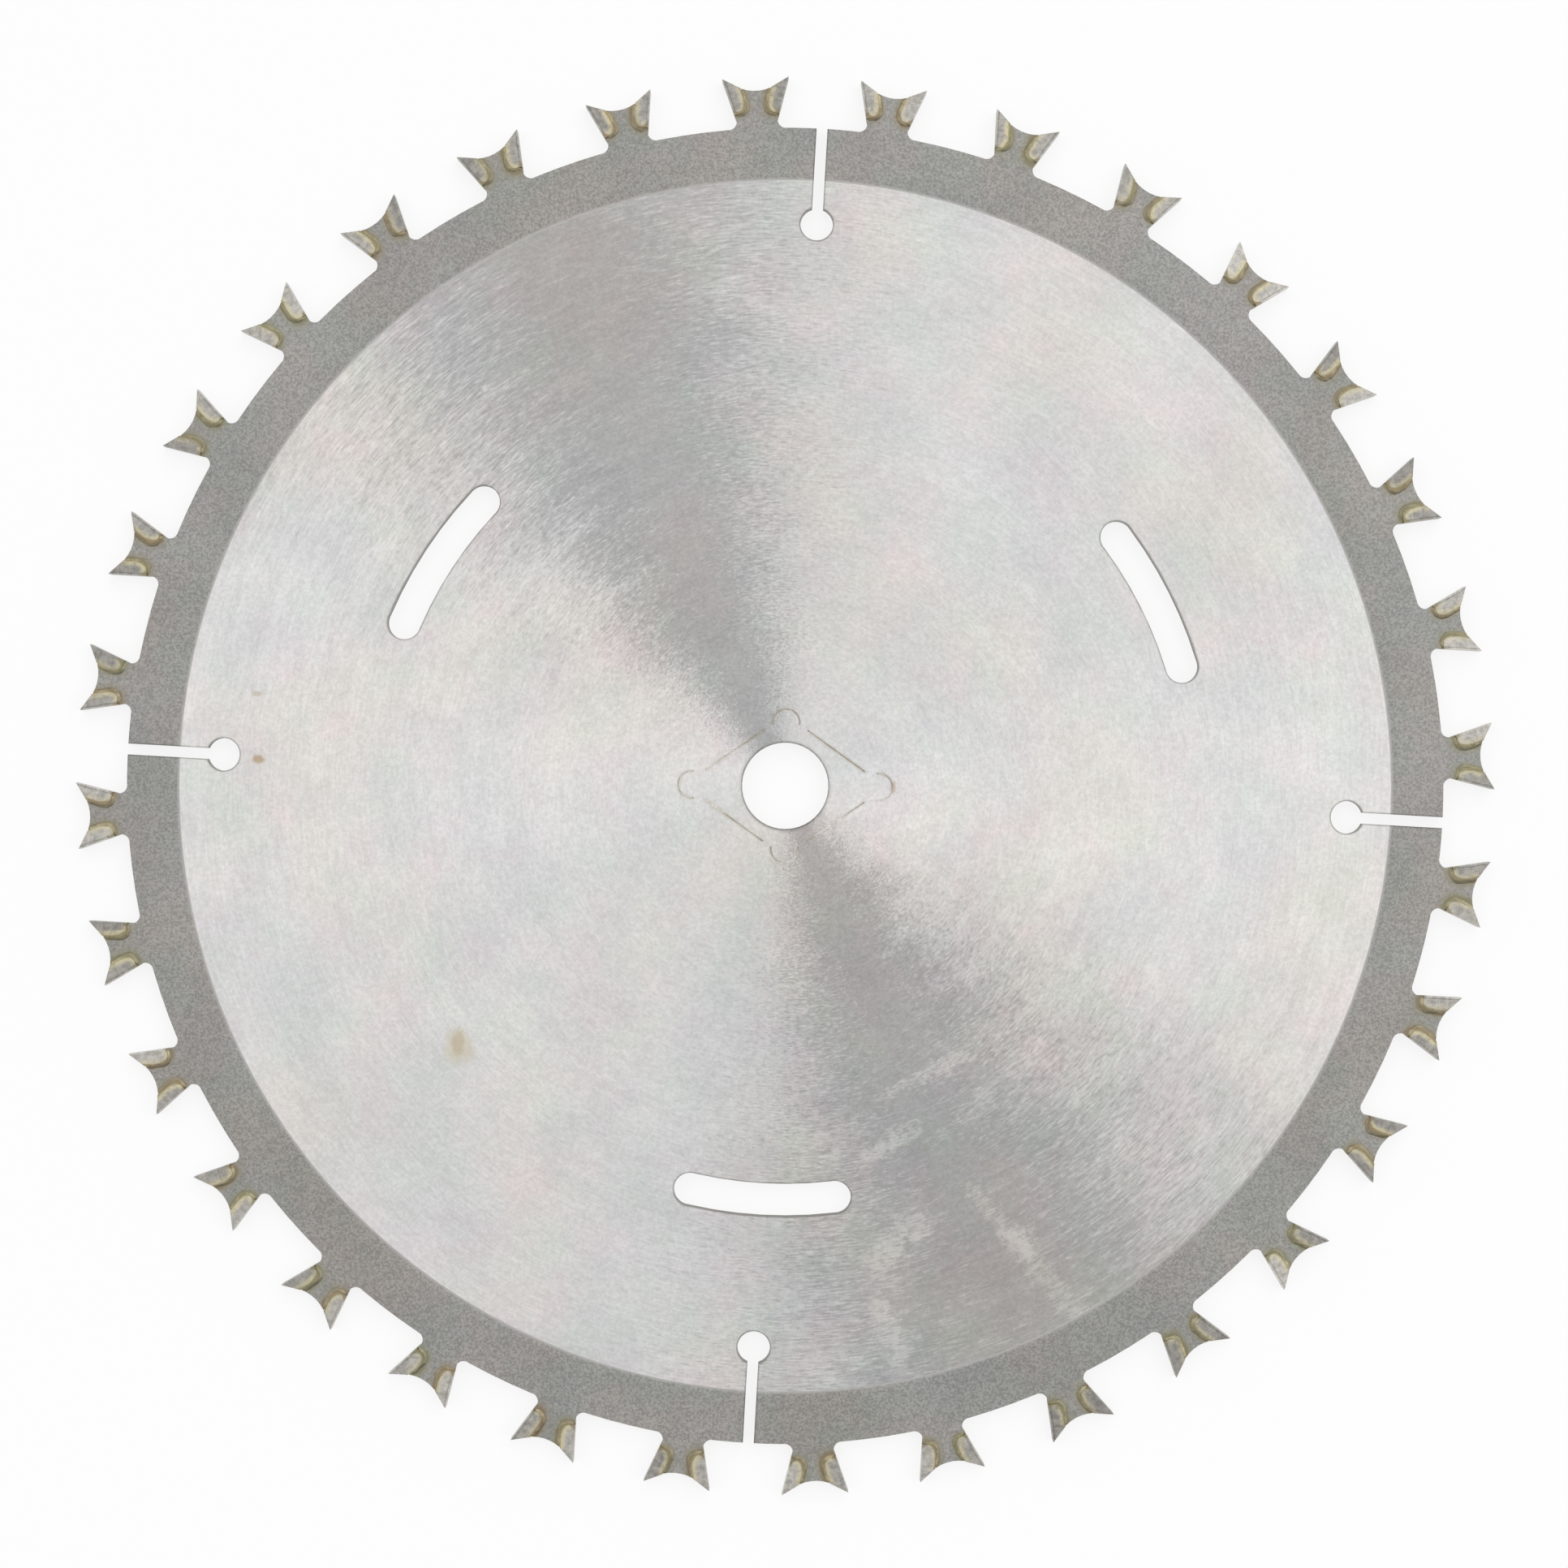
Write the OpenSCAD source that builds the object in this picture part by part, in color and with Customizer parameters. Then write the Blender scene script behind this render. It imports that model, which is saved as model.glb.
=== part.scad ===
// Reversible carbide-tipped circular saw blade.
// A flat steel plate carries fishtail teeth, and every tooth holds two brazed
// carbide tips that face opposite ways, so the blade cuts in both directions.
// Lengths are in millimetres. The bore runs along Z and the middle plane of
// the plate is at Z = 0.

/* [Blade] */
// Diameter of the circle that the cutting points run on
tip_circle_d = 260; // [220:1:320]
// Thickness of the steel plate at its rim
plate_t = 2; // [1.4:0.1:3.2]
// Diameter of the bore that fits the arbor
bore_d = 15.875; // [10:0.005:25.4]

/* [Ground disc] */
// Width of the dull rim band, from the gullet floors in to the ground disc
rim_band_w = 9.6; // [4:0.1:16]
// Depth of the ground disc below the rim band, on each face
disc_depth = 0.05; // [0.02:0.01:0.2]
// Width of the slope between the ground disc and the rim band
disc_slope_w = 1.2; // [0.4:0.1:3]

/* [Teeth] */
// Number of teeth around the plate
tooth_count = 32; // [24:1:40]
// Width of steel left between the two tips of a tooth, at the foot of their seats
web_w = 3.13; // [2.4:0.01:5]
// Lean of each cutting face away from the middle line of the tooth, in degrees
face_lean = 17; // [8:0.5:22]
// Height of the foot of a tip above the gullet floor
foot_rise = 2.53; // [1.6:0.01:5]
// Radius of the corner between a tooth and the gullet floor
gullet_corner_r = 1.5; // [0.5:0.1:2.5]
// Depth of the round valley below the back edges of the two tips
valley_depth = 0.56; // [0.2:0.01:1.2]

/* [Carbide tips] */
// Length of a tip along its cutting face
tip_l = 7; // [5:0.1:9]
// Thickness of a tip behind its cutting face
tip_t = 2.6; // [2:0.1:4]
// Fall of the top land from the cutting edge towards the valley, in degrees
land_fall = 28; // [15:1:36]
// Radius of the inner corner of a tip and of its seat
seat_corner_r = 1.2; // [0.3:0.1:1.6]
// Distance that the cutting edge stands out past the plate, on each side
side_set = 0.5; // [0.3:0.05:0.9]
// Side relief from the cutting edge down to the foot of the tip, in degrees
radial_relief = 1; // [0:0.25:1.5]
// Side relief from the cutting face to the back of the tip, in degrees
face_relief = 2; // [0:0.25:3]

/* [Braze] */
// Thickness of the braze layer between a tip and its seat
braze_gap = 0.1; // [0.05:0.01:0.2]
// Width of the braze fillet on the face of the plate
braze_fillet_w = 0.9; // [0.4:0.05:1.2]
// Share of the standing wall of a tip, at its foot, that the fillet climbs
braze_climb = 0.8; // [0.3:0.05:0.95]

/* [Expansion slots] */
// Number of slots cut in from the gullets
slot_count = 4; // [2:1:6]
// Width of a slot
slot_w = 2; // [0.8:0.1:3]
// Length of a slot, from the gullet floor to the middle of its round end
slot_l = 17.5; // [10:0.5:24]
// Diameter of the round end of a slot
slot_end_d = 6; // [4:0.1:9]

/* [Vents] */
// Number of curved vents
vent_count = 3; // [2:1:6]
// Width of a vent
vent_w = 6; // [3:0.1:9]
// Length of a vent from end to end
vent_l = 32.5; // [16:0.5:48]
// Width of steel left between the vents and the round ends of the slots
vent_web = 21.2; // [12:0.1:30]
// Angle from the first slot to the first vent, in degrees
vent_turn = 30; // [0:1:360]

/* [Knock-out] */
// Width of steel left between the bore and the sides of the scored diamond
diamond_wall = 2.7; // [1.5:0.1:6]
// Angle between the sides of the diamond and its long axis, in degrees
diamond_angle = 35; // [30:1:45]
// Turn of the diamond's long axis from the first slot, in degrees
diamond_turn = 2.4; // [-45:0.1:45]
// Length of the scored line along each side of the diamond
score_l = 12.9; // [6:0.1:13]
// Radius of the scored lobe at each corner of the diamond
lobe_r = 2.5; // [1.5:0.1:3.5]
// Distance from a corner of the diamond in to the middle of its lobe
lobe_inset = 1.4; // [0.5:0.1:2.5]
// Angle that a scored lobe turns through, in degrees
lobe_sweep = 200; // [120:5:240]
// Width of the scored lines
score_w = 0.3; // [0.1:0.05:0.4]
// Depth of the scored lines below the ground disc, on each face
score_depth = 0.4; // [0.1:0.05:0.6]

/* [Hidden] */
$fn = 96;
plate_color = [0.80, 0.80, 0.79];
carbide_color = [0.55, 0.53, 0.53];
braze_color = [0.80, 0.74, 0.50];

// Overlap that lets a cutting shape run past the faces it cuts
past = 1;
// Bite of a round end or corner into the lines it joins, so that it meets them at a clear angle
bite = 0.02;
half_t = plate_t / 2;
disc_z = half_t - disc_depth;
pitch = 360 / tooth_count;

// Tooth frame: X along the rim, Y out from the axis through the middle of the
// tooth. These directions belong to the tip on the left of the tooth.
into_tooth = [cos(face_lean), sin(face_lean)];
up_face = [-sin(face_lean), cos(face_lean)];

// The cutting point stands out from the web by the length and thickness of the tip.
point_u = web_w / 2 + tip_l * sin(face_lean) + tip_t * cos(face_lean);
point_v = sqrt(pow(tip_circle_d / 2, 2) - pow(point_u, 2));
cutting_point = [-point_u, point_v];
function from_point(depth, down) = cutting_point + depth * into_tooth - down * up_face;

// The top land reaches the back of the tip this far down from the cutting point.
wedge_angle = 90 - face_lean - land_fall;
land_drop = tip_t / tan(wedge_angle);
back_edge = from_point(tip_t, land_drop);

// The gullet floor lies below the feet of the tips, at a radius kept to whole
// steps. Its round corner runs into the floor and the line of the cutting face.
floor_step = 0.01;
gullet_r = floor_step * round((norm(from_point(0, tip_l)) - foot_rise) / floor_step);
corner_share = 0.6;
corner_r = min(gullet_corner_r, corner_share * foot_rise);
corner_start = cutting_point - (corner_r - bite) * into_tooth;
corner_reach = gullet_r + corner_r - bite;
corner_along = corner_start * up_face;
corner_down = corner_along - sqrt(pow(corner_along, 2) - corner_start * corner_start + pow(corner_reach, 2));
corner_middle = corner_start - corner_down * up_face;
flank_foot = from_point(0, corner_down);
root_point = corner_middle * (gullet_r - past) / corner_reach;

// The valley between the tips is an arc through both back edges.
valley_r = (pow(back_edge.x, 2) + pow(valley_depth, 2)) / (2 * valley_depth);
valley_middle = [0, back_edge.y - valley_depth + valley_r];

// The inner corner of a tip stays clear of its cutting face.
seat_share = 0.48;
seat_r = min(seat_corner_r, seat_share * tip_t);

kerf = plate_t + 2 * side_set;
foot_stand = side_set - tip_l * tan(radial_relief) - tip_t * tan(face_relief);
fillet_h = braze_climb * foot_stand;

disc_r = gullet_r - rim_band_w;
slot_end_r = gullet_r - slot_l;
vent_r = slot_end_r - slot_end_d / 2 - vent_web - vent_w / 2;
vent_half_angle = asin((vent_l - vent_w) / 2 / vent_r);

flat_r = bore_d / 2 + diamond_wall;
diamond_x = flat_r / sin(diamond_angle);
diamond_y = flat_r / cos(diamond_angle);

// Each slot opens in the middle of a gullet, and a sector is the run of teeth
// from one slot to the next.
function slot_gullet(k) = round(k * tooth_count / slot_count);
function two_digits(i) = i < 10 ? str("0", i) : str(i);
function tip_pair_name(i) = str("tip_pair_", two_digits(i));
function braze_sector_name(k) = str("braze_sector_", k);

// Places its children in the frame of one tooth
module at_tooth(i) {
    rotate((i - 0.5) * pitch - 90)
        children();
}

// Repeats its children on the left and the right of the tooth
module both_tips() {
    for (side = [0, 1])
        mirror([side, 0, 0])
            children();
}

// Places its children in the frame of the left tip: X into the tooth, Y up the
// cutting face, origin at the cutting point
module at_cutting_point() {
    translate(cutting_point)
        rotate(face_lean)
            children();
}

// Repeats its children on the upper and the lower face
module both_faces() {
    for (side = [0, 1])
        mirror([0, 0, side])
            children();
}

// Pocket that takes a tip and its braze layer
module seat_outline() {
    back = tip_t + braze_gap;
    foot = -tip_l - braze_gap;
    r = seat_r + braze_gap;
    polygon([[-past, past], [-past, foot], [back - r, foot], [back, foot + r], [back, past]]);
    translate([back - r, foot + r])
        circle(r);
}

// Steel of one tooth, up to the height of its cutting points
module tooth_blank() {
    left_side = [cutting_point, flank_foot, corner_middle, root_point];
    right_side = [for (i = [3:-1:0]) [-left_side[i].x, left_side[i].y]];
    polygon(concat(right_side, left_side));
}

// What is cut away from one tooth: gullet corners, seats and the valley
module tooth_cuts() {
    both_tips() {
        translate(corner_middle)
            circle(corner_r);
        at_cutting_point()
            seat_outline();
    }
    translate(valley_middle)
        circle(valley_r);
}

// Slot with a round end, open to the gullet
module slot_outline() {
    translate([slot_end_r, -slot_w / 2])
        square([slot_l + past, slot_w]);
    translate([slot_end_r, 0])
        circle(d = slot_end_d);
}

// Curved vent with round ends, centred on the X axis
module vent_outline() {
    reach = vent_r + vent_w;
    difference() {
        circle(vent_r + vent_w / 2);
        circle(vent_r - vent_w / 2);
        translate([-reach, -reach])
            square([reach, 2 * reach]);
        for (side = [0, 1])
            mirror([0, side])
                rotate(vent_half_angle)
                    translate([-reach, 0])
                        square([2 * reach, reach]);
    }
    for (side = [0, 1])
        mirror([0, side])
            rotate(vent_half_angle)
                translate([vent_r, 0])
                    circle(vent_w / 2 + bite);
}

// Outline of the plate with everything that is cut right through it
module plate_outline() {
    difference() {
        union() {
            circle(gullet_r);
            for (i = [1:tooth_count])
                at_tooth(i)
                    tooth_blank();
        }
        for (i = [1:tooth_count])
            at_tooth(i)
                tooth_cuts();
        circle(d = bore_d);
        for (k = [0:slot_count - 1])
            rotate(slot_gullet(k) * pitch)
                slot_outline();
        for (k = [0:vent_count - 1])
            rotate(vent_turn + k * 360 / vent_count)
                vent_outline();
    }
}

// Material ground away from one face, sloping up to the rim band
module disc_grinding() {
    rotate_extrude()
        polygon([
            [0, disc_z],
            [disc_r, disc_z],
            [disc_r + 2 * disc_slope_w, half_t + disc_depth],
            [0, half_t + disc_depth]
        ]);
}

// Scored line along one side of the diamond
module side_score() {
    translate([diamond_x / 2, diamond_y / 2, disc_z])
        rotate(-diamond_angle)
            cube([score_l, score_w, 2 * score_depth], center = true);
}

// Scored lobe at a corner of the diamond, opening towards the bore
module lobe_score(corner_x) {
    translate([corner_x - lobe_inset, 0, disc_z - score_depth])
        rotate_extrude(angle = lobe_sweep, start = -lobe_sweep / 2)
            translate([lobe_r - score_w / 2, 0])
                square([score_w, 2 * score_depth]);
}

// Scored outline of the diamond knock-out on one face
module diamond_score() {
    rotate(diamond_turn) {
        for (half_turn = [0, 180])
            rotate(half_turn) {
                lobe_score(diamond_x);
                rotate(90)
                    lobe_score(diamond_y);
            }
        for (flip_x = [0, 1], flip_y = [0, 1])
            mirror([flip_x, 0, 0])
                mirror([0, flip_y, 0])
                    side_score();
    }
}

// Steel plate with teeth, bore, slots, vents and the scored knock-out
module blade_plate() {
    color(plate_color)
        difference() {
            linear_extrude(plate_t, center = true)
                plate_outline();
            both_faces() {
                disc_grinding();
                diamond_score();
            }
        }
}

// Outline of a tip in the plane of the plate
module tip_outline() {
    polygon([[0, 0], [0, -tip_l], [tip_t - seat_r, -tip_l], [tip_t, seat_r - tip_l], [tip_t, -land_drop]]);
    translate([tip_t - seat_r, seat_r - tip_l])
        circle(seat_r);
}

// Everything below the ground upper side of a tip
module below_tip_side() {
    size = 2 * (tip_l + tip_t);
    translate([0, 0, kerf / 2])
        rotate([radial_relief, face_relief, 0])
            translate([-size, -size, -size])
                cube([2 * size, 2 * size, size]);
}

// One carbide tip with both sides ground to their relief
module carbide_tip() {
    intersection() {
        linear_extrude(kerf + 2 * past, center = true)
            tip_outline();
        below_tip_side();
        mirror([0, 0, 1])
            below_tip_side();
    }
}

// The two tips of one tooth
module tip_pair(i) {
    color(carbide_color)
        at_tooth(i)
            both_tips()
                at_cutting_point()
                    carbide_tip();
}

// Section of the braze: a thin layer in the joint and a fillet on each face
module braze_section() {
    toe = braze_gap + braze_fillet_w;
    crest = half_t + fillet_h;
    polygon([
        [0, -crest],
        [toe, -half_t],
        [braze_gap, -half_t],
        [braze_gap, half_t],
        [toe, half_t],
        [0, crest]
    ]);
}

// Braze section run along a straight stretch, from the origin down -Y
module braze_run(length) {
    rotate([90, 0, 0])
        linear_extrude(length)
            braze_section();
}

// Braze along the back, the inner corner and the foot of one tip
module braze_joint() {
    run_top = -land_drop + braze_fillet_w;
    difference() {
        at_cutting_point() {
            translate([tip_t, run_top, 0])
                braze_run(run_top + tip_l - seat_r);
            translate([tip_t - seat_r, seat_r - tip_l, 0])
                rotate_extrude(angle = 90, start = 270)
                    translate([seat_r, 0])
                        braze_section();
            translate([tip_t - seat_r, -tip_l, 0])
                rotate(-90)
                    braze_run(tip_t - seat_r);
        }
        translate(valley_middle)
            cylinder(h = 2 * kerf, r = valley_r, center = true);
    }
}

// All braze joints between one slot and the next
module braze_sector(k) {
    color(braze_color)
        for (i = [slot_gullet(k - 1) + 1:slot_gullet(k)])
            at_tooth(i)
                both_tips()
                    braze_joint();
}

blade_plate();
for (i = [1:tooth_count])
    tip_pair(i);
for (k = [1:slot_count])
    braze_sector(k);
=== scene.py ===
import math

import bpy
from mathutils import Matrix, Vector


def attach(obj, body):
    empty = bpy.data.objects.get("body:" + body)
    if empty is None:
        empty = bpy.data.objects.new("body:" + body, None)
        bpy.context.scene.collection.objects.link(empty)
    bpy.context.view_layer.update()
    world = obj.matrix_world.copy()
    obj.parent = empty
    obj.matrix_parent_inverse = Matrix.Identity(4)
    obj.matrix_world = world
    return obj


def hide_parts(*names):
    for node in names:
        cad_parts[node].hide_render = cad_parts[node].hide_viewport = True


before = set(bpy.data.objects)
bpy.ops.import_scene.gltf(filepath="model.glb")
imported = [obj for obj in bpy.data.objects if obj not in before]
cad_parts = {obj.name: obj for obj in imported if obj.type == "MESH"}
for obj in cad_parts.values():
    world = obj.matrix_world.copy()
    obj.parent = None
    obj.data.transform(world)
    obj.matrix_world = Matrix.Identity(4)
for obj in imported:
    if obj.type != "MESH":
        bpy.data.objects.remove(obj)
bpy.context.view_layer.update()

# Sizes of the blade, in millimetres, as the part's source has them
MM = 0.001
TOOTH_COUNT = 32
TOOTH_PITCH = 2 * math.pi / TOOTH_COUNT
TIP_CIRCLE_R = 130
GULLET_R = 120.7
RIM_BAND_W = 9.6
DISC_Z = 0.95
DISC_R = GULLET_R - RIM_BAND_W
BORE_R = 7.94
SLOT_COUNT = 4
SLOT_HALF_W = 1
SLOT_L = 17.5
SLOT_END_R = 3.0
SLOT_END_AT = GULLET_R - SLOT_L
VENT_COUNT = 3
FIRST_VENT = math.radians(30)
VENT_L = 32.5
VENT_HALF_W = 3.0
VENT_WEB = 21.2
VENT_LINE_R = SLOT_END_AT - SLOT_END_R - VENT_WEB - VENT_HALF_W
VENT_HALF_TURN = math.asin((VENT_L / 2 - VENT_HALF_W) / VENT_LINE_R)
DIAMOND_TURN = math.radians(2.4)
DIAMOND_ANGLE = math.radians(35)
DIAMOND_WALL = 2.7
DIAMOND_FLAT = BORE_R + DIAMOND_WALL
DIAMOND_CORNER = (DIAMOND_FLAT / math.sin(DIAMOND_ANGLE), DIAMOND_FLAT / math.cos(DIAMOND_ANGLE))
SCORE_HALF_L = 6.45
LOBE_R = 2.5
LOBE_INSET = 1.4
LOBE_HALF_SWEEP = math.radians(100)
FACE_LEAN = math.radians(17)
TIP_LENGTH = 7
TIP_THICKNESS = 2.6
SEAT_CORNER_R = 1.2
WEB_W = 3.13
POINT_OUT = WEB_W / 2 + TIP_LENGTH * math.sin(FACE_LEAN) + TIP_THICKNESS * math.cos(FACE_LEAN)
POINT_UP = math.sqrt(TIP_CIRCLE_R**2 - POINT_OUT**2)
LOWEST_Z = -1.5

# Limits that tell the surfaces of the plate apart: the scores start this far past the bore and end inside
# the radius of the knock-out, their floors lie lower than the drop, and a level may be out by the slack
PAST_BORE = 0.4
KNOCK_OUT_R = 24
SCORE_DROP = 0.05
LEVEL_SLACK = 0.001

# Added to the distance from an outline past its end, so that another outline is the nearer one
FAR_OFF = 100.0

# The braze shows round each tip as an oval line. Its middle is given as depth behind the cutting face and
# distance down from the cutting point, and its half sizes run across the tip, up it and down it. The middle
# differs from tip to tip by up to the play.
OVAL_MIDDLE = (1.1, 4.2)
OVAL_PLAY = (0.2, 0.3)
OVAL_ACROSS = 1.45
OVAL_UP = 4.5
OVAL_DOWN = 2.8

# Added to the number of a tip, so that each of its random values is a draw of its own
ACROSS_DRAW = 5.5
CARBIDE_DRAW = 11.5
DOWN_DRAW = 23.5
WARMTH_DRAW = 40.5
FILM_DRAW = 57.5
HONE_DRAW = 73.5

# The photograph: how far the blade is turned clockwise in it, its width and scale, and how far its middle
# lies to the right of the bore and above it, in millimetres
PHOTO_TURN = math.radians(3.215)
PHOTO_PIXELS = 1932
MM_PER_PIXEL = 0.14908
PHOTO_SHIFT = (-0.22, 0.34)


class Field:
    """A value, a vector or a colour that changes over a surface, worked out by shader nodes."""

    def __init__(self, tree, socket):
        self.tree = tree
        self.socket = socket

    def joined(self, operation, *others):
        node = self.tree.nodes.new("ShaderNodeMath")
        node.operation = operation
        for place, value in zip(node.inputs, (self, *others)):
            put(self.tree, value, place)
        return Field(self.tree, node.outputs[0])

    def vector(self, operation, *others):
        """Joins vectors; a length, a distance or a dot product comes back as a value."""
        node = self.tree.nodes.new("ShaderNodeVectorMath")
        node.operation = operation
        for place, value in zip(node.inputs, (self, *others)):
            put(self.tree, value, place)
        is_value = operation in ("LENGTH", "DISTANCE", "DOT_PRODUCT")
        return Field(self.tree, node.outputs["Value" if is_value else "Vector"])

    def times_plus(self, factor, added):
        return self.joined("MULTIPLY_ADD", factor, added)

    def __add__(self, other):
        return self.joined("ADD", other)

    def __sub__(self, other):
        return self.joined("SUBTRACT", other)

    def __mul__(self, other):
        return self.joined("MULTIPLY", other)

    def __truediv__(self, other):
        return self.joined("DIVIDE", other)

    def __abs__(self):
        return self.joined("ABSOLUTE")

    def sine(self):
        return self.joined("SINE")

    def cosine(self):
        return self.joined("COSINE")

    def whole(self):
        return self.joined("FLOOR")

    def part(self):
        return self.joined("FRACT")

    def larger(self, other):
        return self.joined("MAXIMUM", other)

    def smaller(self, other):
        return self.joined("MINIMUM", other)

    def above(self, other):
        return self.joined("GREATER_THAN", other)

    def rise(self, start, end, low=0.0, high=1.0):
        """Climbs smoothly from low at start to high at end."""
        node = self.tree.nodes.new("ShaderNodeMapRange")
        node.interpolation_type = "SMOOTHSTEP"
        for place, value in zip(node.inputs, (self, start, end, low, high)):
            put(self.tree, value, place)
        return Field(self.tree, node.outputs[0])


def put(tree, value, place):
    """Links a field to a socket, or sets the socket to a plain value."""
    if isinstance(value, Field):
        tree.links.new(value.socket, place)
    else:
        place.default_value = value


def triple(tree, x, y, z):
    """A vector from its three values."""
    node = tree.nodes.new("ShaderNodeCombineXYZ")
    for place, value in zip(node.inputs, (x, y, z)):
        put(tree, value, place)
    return Field(tree, node.outputs[0])


def split(tree, vector):
    """The three values of a vector."""
    node = tree.nodes.new("ShaderNodeSeparateXYZ")
    put(tree, vector, node.inputs[0])
    return [Field(tree, out) for out in node.outputs]


def scaled(tree, vector, level):
    """A vector or a colour times a value."""
    node = tree.nodes.new("ShaderNodeVectorMath")
    node.operation = "SCALE"
    put(tree, vector, node.inputs[0])
    put(tree, level, node.inputs["Scale"])
    return Field(tree, node.outputs["Vector"])


def place_in_mm(tree):
    """Place on the blade in millimetres, as a vector."""
    coords = tree.nodes.new("ShaderNodeTexCoord")
    return scaled(tree, Field(tree, coords.outputs["Object"]), 1 / MM)


def round_axis(place):
    """Place flat in the plane of the blade, its distance from the axis and its angle round it."""
    x, y, _ = split(place.tree, place)
    flat = place.vector("MULTIPLY", (1.0, 1.0, 0.0))
    return flat, flat.vector("LENGTH"), y.joined("ARCTAN2", x)


def grain(tree, vector, scale, detail=2.0, roughness=0.5):
    """Soft noise from 0 to 1 with about scale bumps to each unit of the vector."""
    node = tree.nodes.new("ShaderNodeTexNoise")
    put(tree, vector, node.inputs["Vector"])
    node.inputs["Scale"].default_value = scale
    node.inputs["Detail"].default_value = detail
    node.inputs["Roughness"].default_value = roughness
    return Field(tree, node.outputs[0])


def chance(tree, number):
    """A random value from 0 to 1 that stays the same for one number."""
    node = tree.nodes.new("ShaderNodeTexWhiteNoise")
    node.noise_dimensions = "1D"
    put(tree, number, node.inputs["W"])
    return Field(tree, node.outputs["Value"])


def coat(tree, colour, over, share, kind="MIX"):
    """Lays one colour over another by a share from 0 to 1."""
    node = tree.nodes.new("ShaderNodeMix")
    node.data_type = "RGBA"
    node.blend_type = kind
    put(tree, share, node.inputs[0])
    for place, value in ((node.inputs[6], colour), (node.inputs[7], over)):
        put(tree, value if isinstance(value, Field) else (*value, 1.0), place)
    return Field(tree, node.outputs[2])


def new_finish(name):
    """A new metal finish: its material, its node tree and its shader."""
    material = bpy.data.materials.new(name)
    material.use_nodes = True
    tree = material.node_tree
    shader = tree.nodes["Principled BSDF"]
    shader.inputs["Metallic"].default_value = 1.0
    return material, tree, shader


def roughen(tree, shader, height, strength, depth):
    """Fine relief from a field, with its depth in millimetres."""
    node = tree.nodes.new("ShaderNodeBump")
    node.inputs["Strength"].default_value = strength
    node.inputs["Distance"].default_value = depth * MM
    put(tree, height, node.inputs["Height"])
    tree.links.new(node.outputs[0], shader.inputs["Normal"])


def tooth_place(radius, angle):
    """Distance past the braze line round the nearer tip, place on that tip, and a number for the tip."""
    tree = radius.tree
    turn = angle / TOOTH_PITCH
    lean = turn.part().times_plus(TOOTH_PITCH, -TOOTH_PITCH / 2)
    number = turn.whole().times_plus(2.0, lean.above(0.0))
    on_tooth = triple(tree, radius * abs(lean.sine()), radius * lean.cosine(), 0.0)
    from_point = on_tooth.vector("SUBTRACT", (POINT_OUT, POINT_UP, 0.0))
    depth = from_point.vector("DOT_PRODUCT", (-math.cos(FACE_LEAN), math.sin(FACE_LEAN), 0.0))
    down = from_point.vector("DOT_PRODUCT", (-math.sin(FACE_LEAN), -math.cos(FACE_LEAN), 0.0))
    across_draw = chance(tree, number + ACROSS_DRAW)
    down_draw = chance(tree, number + DOWN_DRAW)
    behind = depth + across_draw.times_plus(2 * OVAL_PLAY[0], -OVAL_PLAY[0] - OVAL_MIDDLE[0])
    below = down + down_draw.times_plus(2 * OVAL_PLAY[1], -OVAL_PLAY[1] - OVAL_MIDDLE[1])
    # Above its middle the oval is open towards the cutting face, and past that face it widens twice as fast
    sideways = behind.larger(0.0) - behind.smaller(0.0) * below.rise(-0.2, 1.4)
    across = depth.smaller(0.0).times_plus(-2.0, sideways) / OVAL_ACROSS
    oval = triple(tree, across, below.larger(0.0) / OVAL_DOWN, below.smaller(0.0) / OVAL_UP)
    reach = oval.vector("LENGTH")
    slope = oval.vector("DIVIDE", (OVAL_ACROSS, OVAL_DOWN, OVAL_UP)).vector("LENGTH") + 0.001
    past_line = (reach - 1.0) * reach / slope
    return past_line, depth, down, number


def nearest_copy(radius, angle, count, first):
    """Place in the frame of the nearest of some equal openings, and the turn from its middle line."""
    turn = (angle - first).joined("PINGPONG", math.pi / count)
    return triple(radius.tree, radius * turn.cosine(), radius * turn.sine(), 0.0), turn


def past_openings(radius, angle):
    """Distance from the nearest edge of the bore, the vents and the slots."""
    at_vent, turn = nearest_copy(radius, angle, VENT_COUNT, FIRST_VENT)
    vent_end = (VENT_LINE_R * math.cos(VENT_HALF_TURN), VENT_LINE_R * math.sin(VENT_HALF_TURN), 0.0)
    from_line = turn.above(VENT_HALF_TURN).times_plus(FAR_OFF, abs(radius - VENT_LINE_R))
    past_vent = from_line.smaller(at_vent.vector("DISTANCE", vent_end)) - VENT_HALF_W
    at_slot, _ = nearest_copy(radius, angle, SLOT_COUNT, 0.0)
    past_round_end = at_slot.vector("DISTANCE", (SLOT_END_AT, 0.0, 0.0)) - SLOT_END_R
    out, sideways, _ = split(radius.tree, at_slot)
    past_slot = out.times_plus(-1.0, SLOT_END_AT).larger(0.0).times_plus(FAR_OFF, sideways - SLOT_HALF_W)
    return past_vent.smaller(past_round_end).smaller(past_slot).smaller(radius - BORE_R)


def shade_at_edges(colour, edge_shade, radius, angle, wobble):
    """Darkens a colour with painted shade along the edges of the bore, the vents and the slots."""
    edge = past_openings(radius, angle) + (wobble - 0.5) * 0.3
    return coat(radius.tree, colour, edge_shade, edge.rise(0.34, 0.08) * 0.6)


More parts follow.
